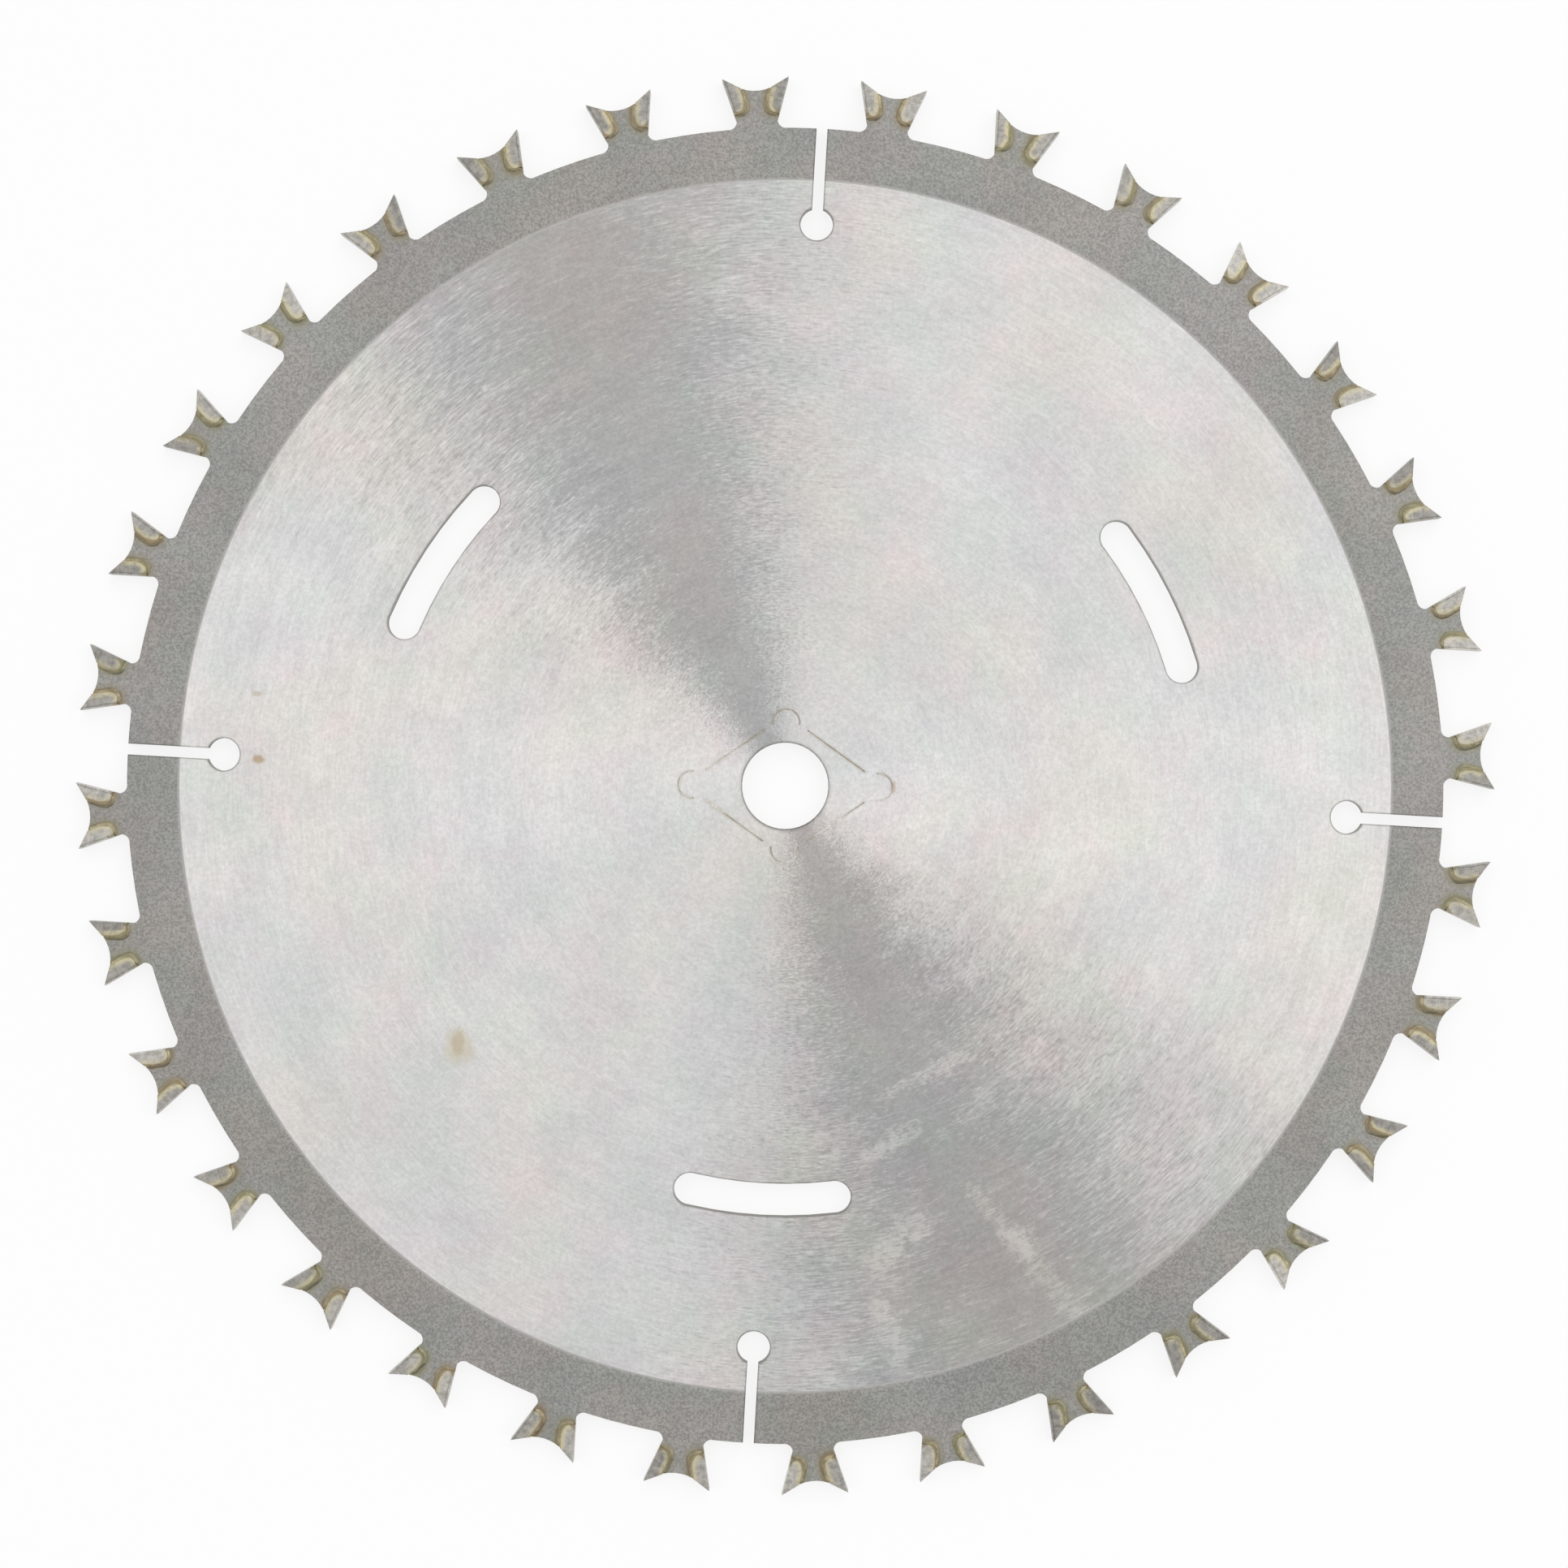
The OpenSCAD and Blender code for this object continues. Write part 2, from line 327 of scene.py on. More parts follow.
def from_score(flat):
    """Distance from the middle of the nearest scored line of the knock-out."""
    turned_x, turned_y = math.cos(DIAMOND_TURN), math.sin(DIAMOND_TURN)
    lengthwise = abs(flat.vector("DOT_PRODUCT", (turned_x, turned_y, 0.0)))
    crosswise = abs(flat.vector("DOT_PRODUCT", (-turned_y, turned_x, 0.0)))
    quarter = triple(flat.tree, lengthwise, crosswise, 0.0)
    from_side = quarter.vector("SUBTRACT", (DIAMOND_CORNER[0] / 2, DIAMOND_CORNER[1] / 2, 0.0))
    along = from_side.vector("DOT_PRODUCT", (math.cos(DIAMOND_ANGLE), -math.sin(DIAMOND_ANGLE), 0.0))
    across = from_side.vector("DOT_PRODUCT", (math.sin(DIAMOND_ANGLE), math.cos(DIAMOND_ANGLE), 0.0))
    beyond_end = (abs(along) - SCORE_HALF_L).larger(0.0)
    nearest = triple(flat.tree, beyond_end, across, 0.0).vector("LENGTH")
    end_lobe = (DIAMOND_CORNER[0] - LOBE_INSET, 0.0, 0.0)
    side_lobe = (0.0, DIAMOND_CORNER[1] - LOBE_INSET, 0.0)
    for forward, lobe in ((lengthwise, end_lobe), (crosswise, side_lobe)):
        reach = quarter.vector("DISTANCE", lobe)
        behind = (reach.times_plus(math.cos(LOBE_HALF_SWEEP), max(lobe)) - forward).larger(0.0)
        nearest = nearest.smaller(behind.times_plus(FAR_OFF, abs(reach - LOBE_R)))
    return nearest


# Colours of the rim. The heat tints run from the reddish tips to the olive ones.
RIM_GREYS = ((0.357, 0.360, 0.337), (0.380, 0.358, 0.344))
RIM_CASTS = ((0.99, 0.995, 1.01), (1.005, 1.0, 0.985))
TAN_TINTS = ((0.345, 0.30, 0.215), (0.325, 0.32, 0.215))
BROWN_TINTS = ((0.265, 0.185, 0.10), (0.25, 0.225, 0.115))
GROUND_LIP = (0.53, 0.515, 0.50)
# Painted shade along the edges of the openings
RIM_EDGE_SHADE = (0.13, 0.125, 0.115)


def rim_steel():
    """Dull steel of the rim, speckled, and tinted by the heat of the brazing round the tips."""
    material, tree, shader = new_finish("dull_rim_steel")
    place = place_in_mm(tree)
    _, radius, angle = round_axis(place)
    speckle = grain(tree, place, 2.4, 2.0, 0.7)
    cloud = grain(tree, place, 0.045, 2.0, 0.5)
    hue = grain(tree, place, 0.07, 3.0, 0.6)
    tinge = grain(tree, place, 0.035, 2.0, 0.5)
    colour = coat(tree, *RIM_GREYS, hue.rise(0.35, 0.65))
    cast = coat(tree, *RIM_CASTS, tinge.rise(0.35, 0.65))
    colour = coat(tree, colour, cast, 1.0, "MULTIPLY")
    colour = scaled(tree, colour, speckle.rise(0.3, 0.7, 0.74, 1.26) * cloud.rise(0.3, 0.7, 0.95, 1.05))

    past_line, _, _, number = tooth_place(radius, angle)
    wobble = grain(tree, place, 0.9, 3.0, 0.6)
    reach = past_line + (wobble - 0.5) * 1.4 + (chance(tree, number) - 0.5) * 0.6
    warm = chance(tree, number + WARMTH_DRAW)
    colour = coat(tree, colour, coat(tree, *TAN_TINTS, warm), reach.rise(2.2, 0.8) * 0.5)
    colour = coat(tree, colour, coat(tree, *BROWN_TINTS, warm), reach.rise(1.1, 0.5) * 0.6)
    ground = (radius + (wobble - 0.5) * 0.5).rise(DISC_R + 0.65, DISC_R - 0.1)
    colour = coat(tree, colour, GROUND_LIP, ground)
    # Painted shade along the edges of the openings
    colour = shade_at_edges(colour, RIM_EDGE_SHADE, radius, angle, wobble)
    put(tree, colour, shader.inputs["Base Color"])
    put(tree, speckle.rise(0.2, 0.8, 0.50, 0.66), shader.inputs["Roughness"])
    roughen(tree, shader, speckle, 0.25, 0.05)
    return material


def spot(flat, ripple, middle, half_w, half_h):
    """A soft blotch: 1 in its middle and 0 outside."""
    stretch = (1 / half_w, 1 / half_h, 0.0)
    shift = (-middle[0] / half_w, -middle[1] / half_h, 0.0)
    from_middle = flat.vector("MULTIPLY_ADD", stretch, shift).vector("LENGTH")
    return (from_middle + ripple).rise(1.15, 0.45)


def stroke(flat, ripple, start, end, half_w, strength):
    """A soft straight rub mark from start to end."""
    reach = math.dist(start, end)
    way = (end[0] - start[0], end[1] - start[1], 0.0)
    from_start = flat.vector("SUBTRACT", (*start, 0.0))
    share = from_start.vector("DOT_PRODUCT", tuple(side / reach ** 2 for side in way))
    nearest = scaled(flat.tree, way, share.larger(0.0).smaller(1.0))
    from_line = from_start.vector("DISTANCE", nearest).times_plus(1 / half_w, ripple)
    return from_line.rise(1.3, 0.1, 0.0, strength)


# Rub marks on the upper face: start, end and half width in millimetres, strength, and how far they turn
# the lines of the grinding
RUB_MARKS = (
    ((38.0, -72.0), (48.5, -82.5), 2.0, 0.85, 0.42),
    ((46.0, -80.0), (59.0, -94.0), 2.7, 0.85, 0.42),
    ((19.5, -56.3), (36.0, -47.5), 1.8, 0.8, 0.5),
    ((18.9, -67.1), (27.0, -61.5), 2.2, 0.8, -0.55),
    ((30.0, -64.0), (40.0, -55.0), 2.0, 0.45, 0.5),
    ((21.6, -85.8), (28.6, -78.5), 3.4, 0.75, -0.5),
    ((22.5, -94.0), (27.0, -104.0), 2.4, 0.7, -0.5),
    ((42.0, -101.0), (50.0, -97.0), 3.0, 0.5, 0.5),
)

# Blotches on the upper face: middle, half width and half height in millimetres
# A broad patch on the lower part of the upper face, which the disc makes darker
DARKER_PATCH = ((30.0, -64.0), 45.0, 62.0)
STAIN = ((-57.2, -51.2), 3.4, 3.6)
STAIN_CORE = ((-57.4, -50.6), 1.3, 2.6)
# Specks of rust: the place of each, given as above, and its strength
RUST_SPECKS = (
    (((-96.7, -0.5), 1.2, 1.0), 1.0),
    (((-97.6, 11.4), 1.1, 0.6), 0.5),
    (((19.8, 1.0), 0.5, 1.4), 0.6),
)

# Colours of the disc
DISC_GREYS = ((0.707, 0.708, 0.707), (0.730, 0.704, 0.674))
PINK_CAST = (1.03, 0.98, 1.0)
GREEN_CAST = (0.975, 1.01, 0.985)
# Painted shade in a thin ring round the bore
BORE_SHADE = (0.40, 0.39, 0.37)
# Painted shade along the edges of the openings
DISC_EDGE_SHADE = (0.16, 0.155, 0.145)
SCORE_GRIME = (0.50, 0.46, 0.39)
RUBBED_STEEL = (0.80, 0.775, 0.70)
STAIN_TAN = (0.64, 0.57, 0.42)
STAIN_BROWN = (0.50, 0.40, 0.24)
RUST = (0.42, 0.29, 0.13)

# How strongly the ground disc stretches a highlight across the lines of its grinding
GRINDING_STRETCH = 0.96


def ground_lines(swept, round_blade, outward, detail, roughness):
    """Noise drawn out along the circles of the grinding, by its scale round the blade and outward."""
    drawn_out = swept.vector("MULTIPLY", (round_blade, round_blade, outward))
    return grain(swept.tree, drawn_out, 1.0, detail, roughness)


def rub_marks(flat, wobble, broken):
    """How far the steel is rubbed, and how far the marks turn the lines of the grinding."""
    ripple = (wobble - 0.5) * 2.0
    rubbed = twist = broken * 0.0
    for start, end, half_w, strength, turned in RUB_MARKS:
        mark = stroke(flat, ripple, start, end, half_w, strength)
        rubbed = rubbed.larger(mark)
        twist = mark.times_plus(turned, twist)
    return rubbed * broken, twist * broken


def disc_steel():
    """Bright steel ground in circles round the bore, with the marks of its use on the upper face."""
    material, tree, shader = new_finish("ground_disc_steel")
    shader.inputs["Anisotropic"].default_value = GRINDING_STRETCH
    place = place_in_mm(tree)
    upper = split(tree, place)[2].above(0.0)
    flat, radius, angle = round_axis(place)
    outward = flat.vector("NORMALIZE")
    outward_x, outward_y, _ = split(tree, outward)
    swept = triple(tree, outward_x, outward_y, radius)
    arcs = ground_lines(swept, 3.5, 0.4, 2.0, 0.6)
    brush = ground_lines(swept, 40.0, 3.4, 2.0, 0.6)
    long_lines = ground_lines(swept, 5.0, 1.1, 3.0, 0.65)
    short_lines = ground_lines(swept, 22.0, 2.6, 2.0, 0.6)
    wobble = grain(tree, place, 0.35, 3.0, 0.6)
    broken = upper * grain(tree, place, 0.9, 3.0, 0.65).rise(0.34, 0.62, 0.3, 1.0)
    rubbed, twist = rub_marks(flat, wobble, broken)

    drift = (grain(tree, place, 0.05, 2.0, 0.5) - 0.5) * 0.2 + (arcs - 0.5) * 0.3
    drift = drift + (brush.rise(0.5, 0.7) - brush.rise(0.5, 0.3)) * 0.22 + twist
    along = triple(tree, outward_y * -1.0, outward_x, 0.0)
    put(tree, outward.vector("ADD", scaled(tree, along, drift)), shader.inputs["Tangent"])

    speckle = grain(tree, place, 1.5, 2.0, 0.7)
    cloud = grain(tree, place, 0.055, 3.0, 0.6)
    hue = grain(tree, place, 0.028, 2.0, 0.5)
    tinge = grain(tree, place, 0.075, 2.0, 0.5)
    colour = coat(tree, *DISC_GREYS, hue.rise(0.35, 0.65))
    colour = coat(tree, colour, PINK_CAST, tinge.rise(0.5, 0.7), "MULTIPLY")
    colour = coat(tree, colour, GREEN_CAST, tinge.rise(0.5, 0.3), "MULTIPLY")
    level = long_lines.rise(0.25, 0.75, 0.965, 1.035) * short_lines.rise(0.25, 0.75, 0.955, 1.045)
    level = level * arcs.rise(0.3, 0.7, 0.98, 1.02)
    level = level * speckle.rise(0.3, 0.7, 0.93, 1.07) * cloud.rise(0.3, 0.7, 0.955, 1.045)
    ripple = (wobble - 0.5) * 1.1
    # A broad patch on the lower part of the upper face is made 7% darker
    darker_patch = spot(flat, ripple, *DARKER_PATCH) * upper
    colour = scaled(tree, colour, level * (darker_patch * -0.07 + 1.0))

    # Painted shade in a thin ring round the edge of the bore, made patchy by the cloud noise
    bore_shade = radius.rise(BORE_R + 0.85, BORE_R + 0.1) * cloud.rise(0.35, 0.6, 0.15, 0.6)
    colour = coat(tree, colour, BORE_SHADE, bore_shade)
    # Painted shade along the edges of the openings
    colour = shade_at_edges(colour, DISC_EDGE_SHADE, radius, angle, wobble)
    burr = (from_score(flat) + (speckle - 0.5) * 0.4).rise(0.62, 0.15)
    colour = coat(tree, colour, SCORE_GRIME, burr * cloud.rise(0.35, 0.62, 0.4, 0.12))
    colour = coat(tree, colour, RUBBED_STEEL, rubbed * 0.4)
    colour = coat(tree, colour, STAIN_TAN, spot(flat, ripple, *STAIN) * upper * 0.55)
    colour = coat(tree, colour, STAIN_BROWN, spot(flat, ripple, *STAIN_CORE) * upper * 0.45)
    rust = upper * 0.0
    for speck, strength in RUST_SPECKS:
        rust = rust.larger(spot(flat, ripple, *speck) * strength)
    colour = coat(tree, colour, RUST, rust * upper * 0.7)

    put(tree, colour, shader.inputs["Base Color"])
    put(tree, long_lines.rise(0.2, 0.8, 0.37, 0.43) + rubbed * 0.12, shader.inputs["Roughness"])
    roughen(tree, shader, short_lines, 0.12, 0.03)
    return material


# Colours of the cut edges and of the scores
CUT_GREYS = ((0.15, 0.14, 0.125), (0.27, 0.25, 0.22))
CUT_TAN = (0.20, 0.16, 0.11)
SCORE_FILLS = ((0.62, 0.58, 0.50), (0.88, 0.86, 0.82))


def cut_edge_steel():
    """Walls of the bore, the slots, the vents and the teeth, with lines across the plate from cutting."""
    material, tree, shader = new_finish("cut_edge_steel")
    place = place_in_mm(tree)
    lines = grain(tree, place.vector("MULTIPLY", (1.0, 1.0, 0.12)), 4.5, 2.0, 0.6)
    patch = grain(tree, place, 0.5, 2.0, 0.5)
    colour = coat(tree, *CUT_GREYS, lines.rise(0.3, 0.7))
    colour = coat(tree, colour, CUT_TAN, patch.rise(0.55, 0.75) * 0.6)
    put(tree, colour, shader.inputs["Base Color"])
    put(tree, lines.rise(0.2, 0.8, 0.38, 0.58), shader.inputs["Roughness"])
    roughen(tree, shader, lines, 0.3, 0.04)
    return material


def score_steel():
    """Scored lines of the knock-out, filled with old dirt to a varying depth."""
    material, tree, shader = new_finish("scored_line_steel")
    place = place_in_mm(tree)
    strength = grain(tree, place, 0.16, 2.0, 0.5)
    speckle = grain(tree, place, 2.2, 2.0, 0.6)
    colour = coat(tree, *SCORE_FILLS, strength.rise(0.35, 0.62))
    put(tree, scaled(tree, colour, speckle.rise(0.2, 0.8, 0.8, 1.2)), shader.inputs["Base Color"])
    put(tree, speckle.rise(0.2, 0.8, 0.5, 0.7), shader.inputs["Roughness"])
    return material


# Colours of the carbide, and of the braze that has run in over it, from the reddish tips to the olive ones
CARBIDE_GREYS = ((0.52, 0.50, 0.462), (0.30, 0.287, 0.265))
FILM_CREAM = (0.66, 0.595, 0.385)
FILM_BROWNS = ((0.29, 0.22, 0.125), (0.27, 0.25, 0.14))


def carbide():
    """Ground carbide, with a film of braze run in over its inner edge."""
    material, tree, shader = new_finish("ground_carbide")
    place = place_in_mm(tree)
    _, radius, angle = round_axis(place)
    past_line, depth, down, number = tooth_place(radius, angle)
    lines = grain(tree, triple(tree, depth * 0.35, down * 4.0, number * 7.3), 1.0, 2.0, 0.6)
    patch = grain(tree, place, 1.1, 3.0, 0.6)
    sweep = grain(tree, place, 0.45, 2.0, 0.5)
    colour = coat(tree, *CARBIDE_GREYS, chance(tree, number + CARBIDE_DRAW))
    colour = scaled(tree, colour, lines.rise(0.3, 0.7, 0.91, 1.09) * patch.rise(0.3, 0.7, 0.8, 1.22))

    honed = depth + (sweep - 0.5) * 0.25
    colour = scaled(tree, colour, honed.rise(0.34, 0.2, 1.0, 1.08))
    hone_line = honed.rise(0.2, 0.32) * honed.rise(0.48, 0.36)
    hone_line = hone_line * chance(tree, number + HONE_DRAW).rise(0.3, 0.6)
    colour = scaled(tree, colour, hone_line * -0.4 + 1.0)

    film = past_line + (sweep - 0.5) * 0.8
    cream = film.rise(-1.2, -0.4) * (down + (patch - 0.5) * 1.5).rise(1.2, 3.2)
    cream = cream * patch.rise(0.25, 0.6, 0.35, 1.0) * depth.rise(0.2, 1.1)
    cream = cream * chance(tree, number + FILM_DRAW).rise(0.0, 1.0, 0.5, 1.0)
    colour = coat(tree, colour, FILM_CREAM, cream * 0.85)
    edge = past_line + (patch - 0.5) * 0.6 + (sweep - 0.5) * 0.4
    brown = coat(tree, *FILM_BROWNS, chance(tree, number + WARMTH_DRAW))
    colour = coat(tree, colour, brown, edge.rise(-0.22, 0.12) * 0.85)
    specks = grain(tree, place, 3.2, 1.0, 0.5)
    colour = scaled(tree, colour, specks.rise(0.64, 0.72) * past_line.rise(-1.3, -0.3) * -0.3 + 1.0)
    put(tree, colour, shader.inputs["Base Color"])
    put(tree, patch.rise(0.2, 0.8, 0.30, 0.46), shader.inputs["Roughness"])
    roughen(tree, shader, lines, 0.25, 0.03)
    return material


# Colours of the beads: the browns of the reddish and the olive tips, pale streaks, and the two edges
BEAD_BROWNS = ((0.29, 0.235, 0.155), (0.275, 0.262, 0.168))
BEAD_STREAK = (0.39, 0.33, 0.22)
BEAD_INNER = (0.62, 0.55, 0.36)
BEAD_OUTER = (0.32, 0.298, 0.235)


def braze():
    """Braze beads, browned by heat and flux."""
    material, tree, shader = new_finish("heat_tinted_braze")
    place = place_in_mm(tree)
    _, radius, angle = round_axis(place)
    past_line, _, _, number = tooth_place(radius, angle)
    patch = grain(tree, place, 1.3, 3.0, 0.6)
    streak = grain(tree, place, 0.6, 2.0, 0.5)
    colour = coat(tree, *BEAD_BROWNS, chance(tree, number + WARMTH_DRAW))
    colour = coat(tree, colour, BEAD_STREAK, streak.rise(0.52, 0.68) * 0.5)
    inner = (past_line + (patch - 0.5) * 0.9).rise(0.42, 0.0)
    colour = coat(tree, colour, BEAD_INNER, inner * 0.5)
    outer = (past_line + (patch - 0.5) * 0.6).rise(0.6, 1.1)
    colour = coat(tree, colour, BEAD_OUTER, outer * 0.7)
    put(tree, colour, shader.inputs["Base Color"])
    put(tree, patch.rise(0.2, 0.8, 0.40, 0.6), shader.inputs["Roughness"])
    roughen(tree, shader, patch, 0.3, 0.08)
    return material


def finish_plate(plate):
    """Gives each face of the plate the finish of the surface that it lies on."""
    mesh = plate.data
    mesh.materials.clear()
    for finish in (disc_steel(), rim_steel(), cut_edge_steel(), score_steel()):
        mesh.materials.append(finish)
    disc, rim, cut_edge, score = range(4)
    for face in mesh.polygons:
        middle = face.center / MM
        height = abs(middle.z)
        in_knock_out = BORE_R + PAST_BORE < middle.xy.length < KNOCK_OUT_R
        if abs(face.normal.z) > 0.5:
            on_face = disc if height < DISC_Z + LEVEL_SLACK else rim
            face.material_index = score if height < DISC_Z - SCORE_DROP else on_face
        else:
            face.material_index = score if in_knock_out else cut_edge


# Section of a bead: millimetres out from the wall of the tip and height above the middle of the plate. The
# face starts inside the tip, and a thin web through the joint holds the two faces together.
BEAD_FACE = ((-0.26, 1.12), (0.0, 1.27), (0.2, 1.22), (0.4, 1.15), (0.6, 1.06), (0.78, 0.96))
BEAD_WEB = (0.10, 0.80)
BEAD_UPPER_HALF = (*BEAD_FACE, BEAD_WEB)
BEAD_SECTION = (*BEAD_UPPER_HALF, *((out, -up) for out, up in reversed(BEAD_UPPER_HALF)))
# Run of a bead, in millimetres: its top end slopes as the valley does and is brought level in a few steps,
# each keeping a share of the slope before it. Each step along the foot has a length and keeps a share of
# the width before it, and loses half as large a share of the height.
BEAD_TOP = -2.56
VALLEY_FALL = 0.8
LEVELLING_STEP = 0.5
LEVELLING_SHARES = (1, 0.6, 0.2, 0)
CORNER_STEPS = 6
FOOT_STEPS = ((0.5, 0.9), (0.5, 0.9), (0.36, 0.75))
# Lumps of a bead: how wide and how high they are, in millimetres
LUMP_W = 1.1
LUMP_H = 0.26


def braze_bead():
    """One bead in the frame of a tip: X into the tooth, Y up the cutting face, from the cutting point."""
    back_x = TIP_THICKNESS * MM
    foot_y = -TIP_LENGTH * MM
    corner_r = SEAT_CORNER_R * MM
    bpy.ops.object.select_all(action="DESELECT")
    bpy.ops.mesh.primitive_circle_add(vertices=len(BEAD_SECTION), fill_type="NGON")
    bead = bpy.context.object
    for vertex, (out, up) in zip(bead.data.vertices, BEAD_SECTION):
        vertex.co = (back_x + out * MM, (BEAD_TOP - VALLEY_FALL * max(out, 0)) * MM, up * MM)
    bpy.ops.object.mode_set(mode="EDIT")
    bpy.ops.mesh.select_all(action="SELECT")
    straight = LEVELLING_STEP * MM
    level = BEAD_TOP * MM
    for share in LEVELLING_SHARES:
        level -= straight
        bpy.ops.mesh.extrude_region_move(TRANSFORM_OT_translate={"value": (0, -straight, 0)})
        bpy.ops.transform.resize(value=(1, share, 1), center_override=(back_x, level, 0))
    rest = level - (foot_y + corner_r)
    bpy.ops.mesh.extrude_region_move(TRANSFORM_OT_translate={"value": (0, -rest, 0)})
    corner = (back_x - corner_r, foot_y + corner_r, 0)
    bpy.ops.mesh.spin(steps=CORNER_STEPS, angle=math.pi / 2, center=corner, axis=(0, 0, 1))
    for step, share in FOOT_STEPS:
        bpy.ops.mesh.extrude_region_move(TRANSFORM_OT_translate={"value": (-step * MM, 0, 0)})
        bpy.ops.transform.resize(value=(1, share, 0.5 + share / 2), center_override=(0, foot_y, 0))
    bpy.ops.mesh.select_all(action="SELECT")
    bpy.ops.mesh.normals_make_consistent(inside=False)
    bpy.ops.object.mode_set(mode="OBJECT")
    smoother = bead.modifiers.new("smoother", "SUBSURF")
    smoother.levels = 1
    smoother.render_levels = 1
    bpy.ops.object.modifier_apply(modifier=smoother.name)
    return bead


def braze_sectors(bead):
    """Copies the bead round all the tips and joins the copies between one slot and the next."""
    finish = braze()
    lumps = bpy.data.textures.new("bead_lumps", "CLOUDS")
    lumps.noise_scale = LUMP_W * MM
    at_tip = Matrix.Translation((-POINT_OUT * MM, POINT_UP * MM, 0)) @ Matrix.Rotation(FACE_LEAN, 4, "Z")
    teeth = TOOTH_COUNT // SLOT_COUNT
    for sector in range(SLOT_COUNT):
        bpy.ops.object.select_all(action="DESELECT")
        for tooth in range(sector * teeth, (sector + 1) * teeth):
            turn = Matrix.Rotation((tooth + 0.5) * TOOTH_PITCH - math.pi / 2, 4, "Z")
            for mirror in (1, -1):
                copy = bead.copy()
                copy.data = bead.data.copy()
                bpy.context.collection.objects.link(copy)
                copy.data.transform(turn @ Matrix.Diagonal((mirror, 1, 1, 1)) @ at_tip)
                if mirror < 0:
                    copy.data.flip_normals()
                copy.select_set(True)
                bpy.context.view_layer.objects.active = copy
        bpy.ops.object.join()
        piece = bpy.context.object
        piece.name = f"braze_beads_{sector + 1}"
        piece.data.materials.clear()
        piece.data.materials.append(finish)
        uneven = piece.modifiers.new("uneven", "DISPLACE")
        uneven.texture = lumps
        uneven.texture_coords = "LOCAL"
        uneven.strength = LUMP_H * MM
        uneven.mid_level = 0.5
        bpy.ops.object.modifier_apply(modifier=uneven.name)
        bpy.ops.object.shade_smooth()
        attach(piece, "root")
        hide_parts(f"braze_sector_{sector + 1}")
    bpy.data.objects.remove(bead)


# The floor: its width in metres, its colour, and how much of it is plain white to the eye
FLOOR_W = 8
FLOOR_COLOUR = (0.95, 0.95, 0.95, 1)
WHITE_SHARE = 0.82


def pale_floor():
    """A pale floor that looks white and still takes the shadow of the blade."""
    bpy.ops.object.select_all(action="DESELECT")
    bpy.ops.mesh.primitive_plane_add(size=FLOOR_W, location=(0, 0, LOWEST_Z * MM))
    floor = bpy.context.object
    floor.name = "floor"
    material = bpy.data.materials.new("pale_floor")
    material.use_nodes = True
    tree = material.node_tree
    tree.nodes.clear()
    matt = tree.nodes.new("ShaderNodeBsdfDiffuse")
    matt.inputs["Color"].default_value = FLOOR_COLOUR
    white = tree.nodes.new("ShaderNodeEmission")
    path = tree.nodes.new("ShaderNodeLightPath")
    seen = Field(tree, path.outputs["Is Camera Ray"])
    seen = seen.larger(Field(tree, path.outputs["Is Glossy Ray"]))
    seen = seen.larger(Field(tree, path.outputs["Is Transmission Ray"]))
    mix = tree.nodes.new("ShaderNodeMixShader")
    put(tree, seen * WHITE_SHARE, mix.inputs[0])
    tree.links.new(matt.outputs[0], mix.inputs[1])
    tree.links.new(white.outputs[0], mix.inputs[2])
    output = tree.nodes.new("ShaderNodeOutputMaterial")
    tree.links.new(mix.outputs[0], output.inputs["Surface"])
    floor.data.materials.append(material)


# Direction of the two unlit sides of the studio, which the ground disc shows as dark wedges. Each is full
# inside the core, ends at the edge and takes away a share of the light.
UNLIT_SIDE = math.radians(116.5)
UNLIT_CORE = math.radians(2)
UNLIT_EDGE = math.radians(27)
UNLIT_LOSS = 0.6
# Light of the room in the middle, and the share that it gains towards the top of the photograph
ROOM_LEVEL = 1.08
ROOM_GAIN = 0.6
# The lamp, in metres and watts
LAMP_W = 0.9
LAMP_POWER = 1.4
LAMP_PLACE = (1.12, -0.09, 1.2)
WHITE = (1, 1, 1, 1)


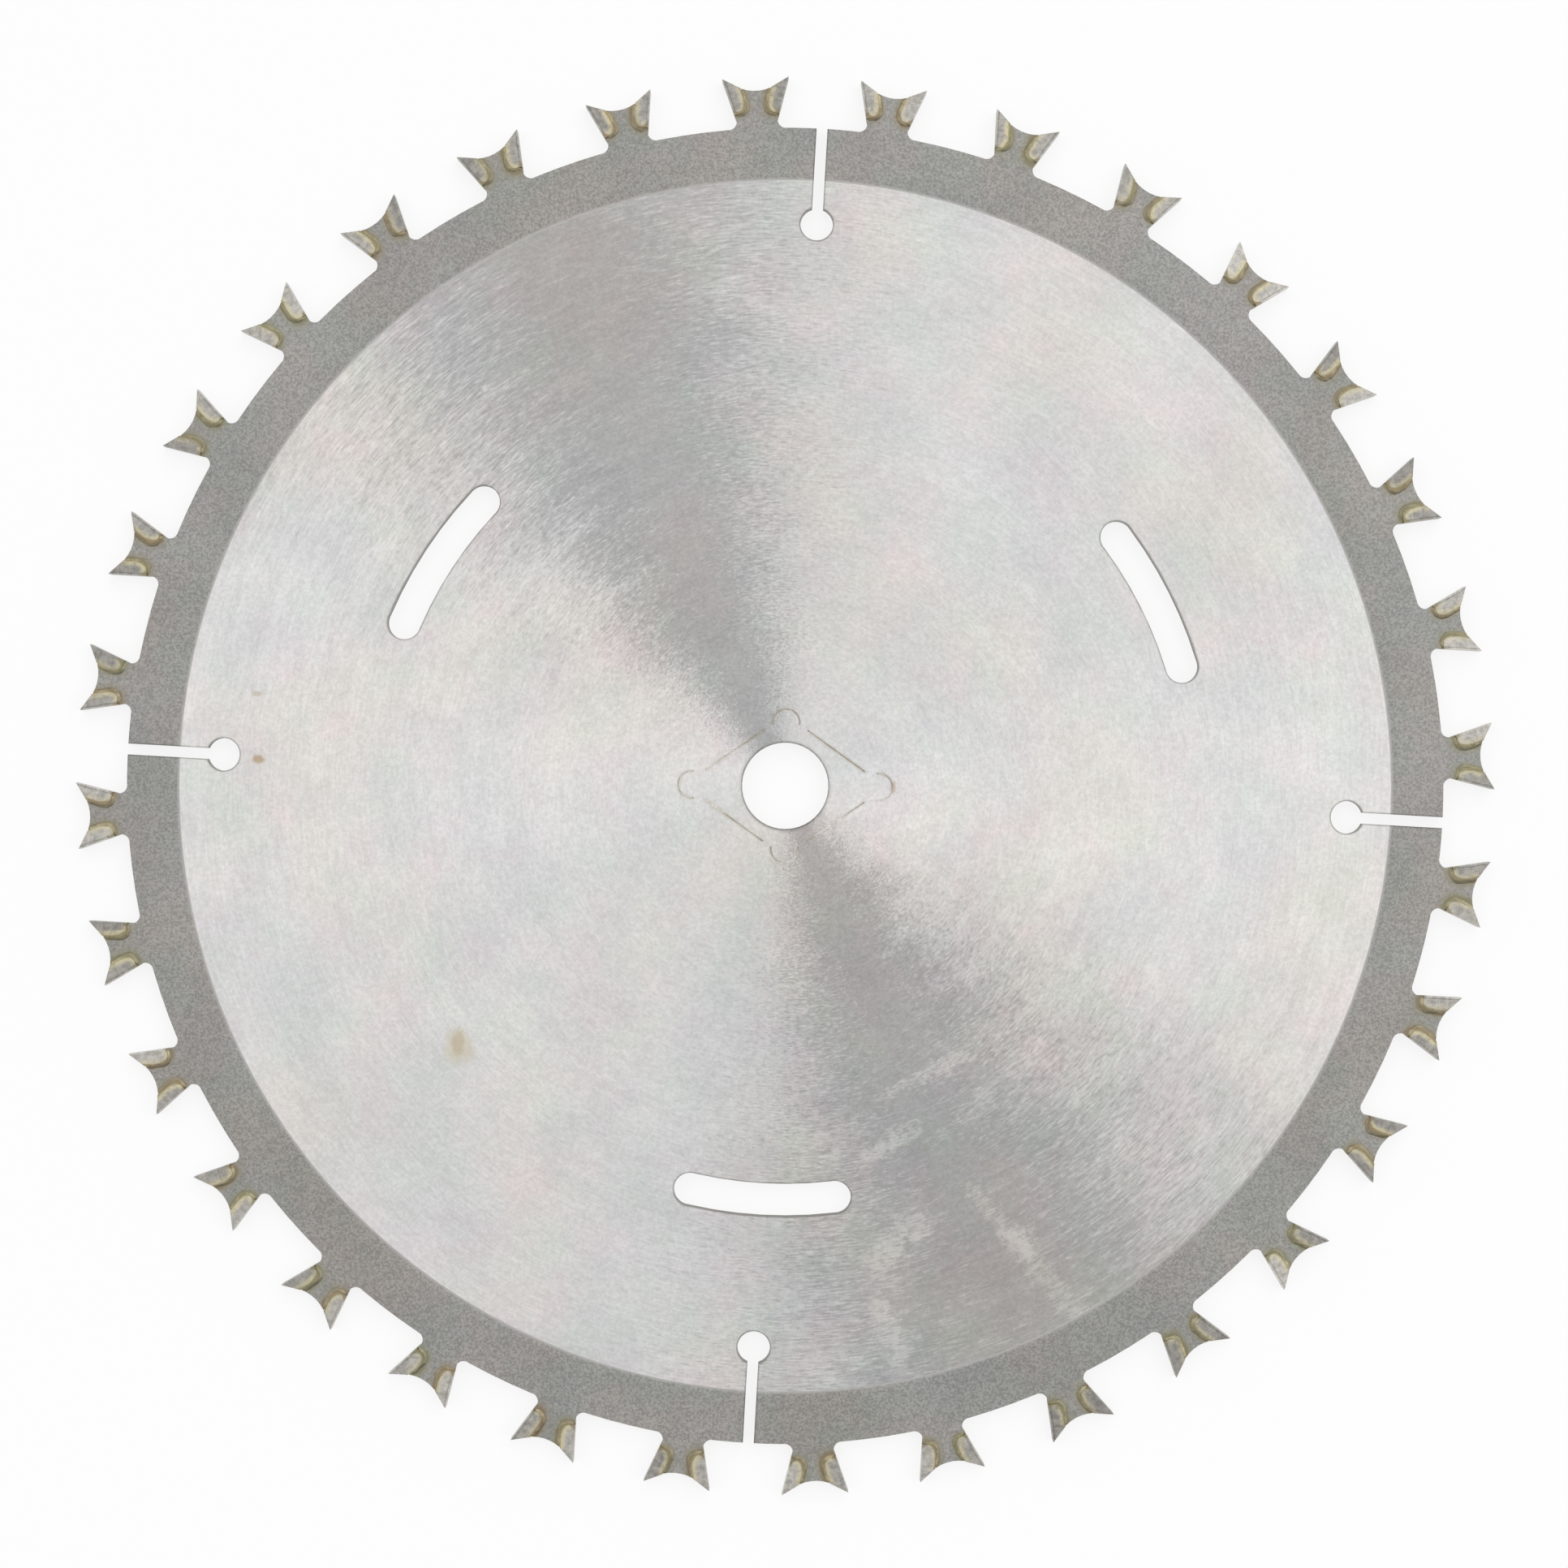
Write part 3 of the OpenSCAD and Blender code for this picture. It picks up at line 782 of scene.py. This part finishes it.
def studio_light():
    """A bright room with two unlit sides, and one soft lamp."""
    world = bpy.data.worlds.new("bright_room")
    bpy.context.scene.world = world
    world.use_nodes = True
    tree = world.node_tree
    tree.nodes.clear()
    coords = tree.nodes.new("ShaderNodeTexCoord")
    x, y, _ = split(tree, Field(tree, coords.outputs["Generated"]))
    towards = x * math.cos(UNLIT_SIDE) + y * math.sin(UNLIT_SIDE)
    facing = towards * towards / (x * x + y * y + 0.0001)
    unlit = facing.rise(math.cos(UNLIT_EDGE) ** 2, math.cos(UNLIT_CORE) ** 2)
    to_top = y * math.cos(PHOTO_TURN) - x * math.sin(PHOTO_TURN)
    level = (unlit * -UNLIT_LOSS + 1.0) * (to_top * ROOM_GAIN + 1.0)
    room = tree.nodes.new("ShaderNodeBackground")
    room.inputs["Color"].default_value = WHITE
    put(tree, level * ROOM_LEVEL, room.inputs["Strength"])
    white = tree.nodes.new("ShaderNodeBackground")
    white.inputs["Color"].default_value = WHITE
    path = tree.nodes.new("ShaderNodeLightPath")
    mix = tree.nodes.new("ShaderNodeMixShader")
    tree.links.new(path.outputs["Is Camera Ray"], mix.inputs[0])
    tree.links.new(room.outputs[0], mix.inputs[1])
    tree.links.new(white.outputs[0], mix.inputs[2])
    output = tree.nodes.new("ShaderNodeOutputWorld")
    tree.links.new(mix.outputs[0], output.inputs["Surface"])

    lamp = bpy.data.lights.new("soft_lamp", "AREA")
    lamp.shape = "SQUARE"
    lamp.size = LAMP_W
    lamp.energy = LAMP_POWER
    holder = bpy.data.objects.new("soft_lamp", lamp)
    bpy.context.collection.objects.link(holder)
    holder.location = LAMP_PLACE
    holder.rotation_euler = (-holder.location).to_track_quat("-Z", "Y").to_euler()


# Height of the camera and its near limit, in metres, and the width of its sensor, in millimetres
CAMERA_HEIGHT = 0.6
CAMERA_NEAR = 0.01
SENSOR_W = 36


def camera_above():
    """Looks straight down, turned and placed as in the photograph."""
    right = Vector((math.cos(PHOTO_TURN), math.sin(PHOTO_TURN), 0))
    up = Vector((-math.sin(PHOTO_TURN), math.cos(PHOTO_TURN), 0))
    middle = (right * PHOTO_SHIFT[0] + up * PHOTO_SHIFT[1]) * MM
    camera = bpy.data.cameras.new("camera")
    camera.sensor_width = SENSOR_W
    camera.lens = SENSOR_W * CAMERA_HEIGHT / (PHOTO_PIXELS * MM_PER_PIXEL * MM)
    camera.clip_start = CAMERA_NEAR
    holder = bpy.data.objects.new("camera", camera)
    bpy.context.collection.objects.link(holder)
    holder.location = middle + Vector((0, 0, CAMERA_HEIGHT))
    holder.rotation_euler = (0, 0, PHOTO_TURN)
    bpy.context.scene.camera = holder


finish_plate(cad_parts["blade_plate"])
tip_finish = carbide()
for name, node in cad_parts.items():
    if name.startswith("tip_pair"):
        node.data.materials.clear()
        node.data.materials.append(tip_finish)
braze_sectors(braze_bead())
pale_floor()
studio_light()
camera_above()
bpy.context.scene.view_settings.view_transform = "Standard"
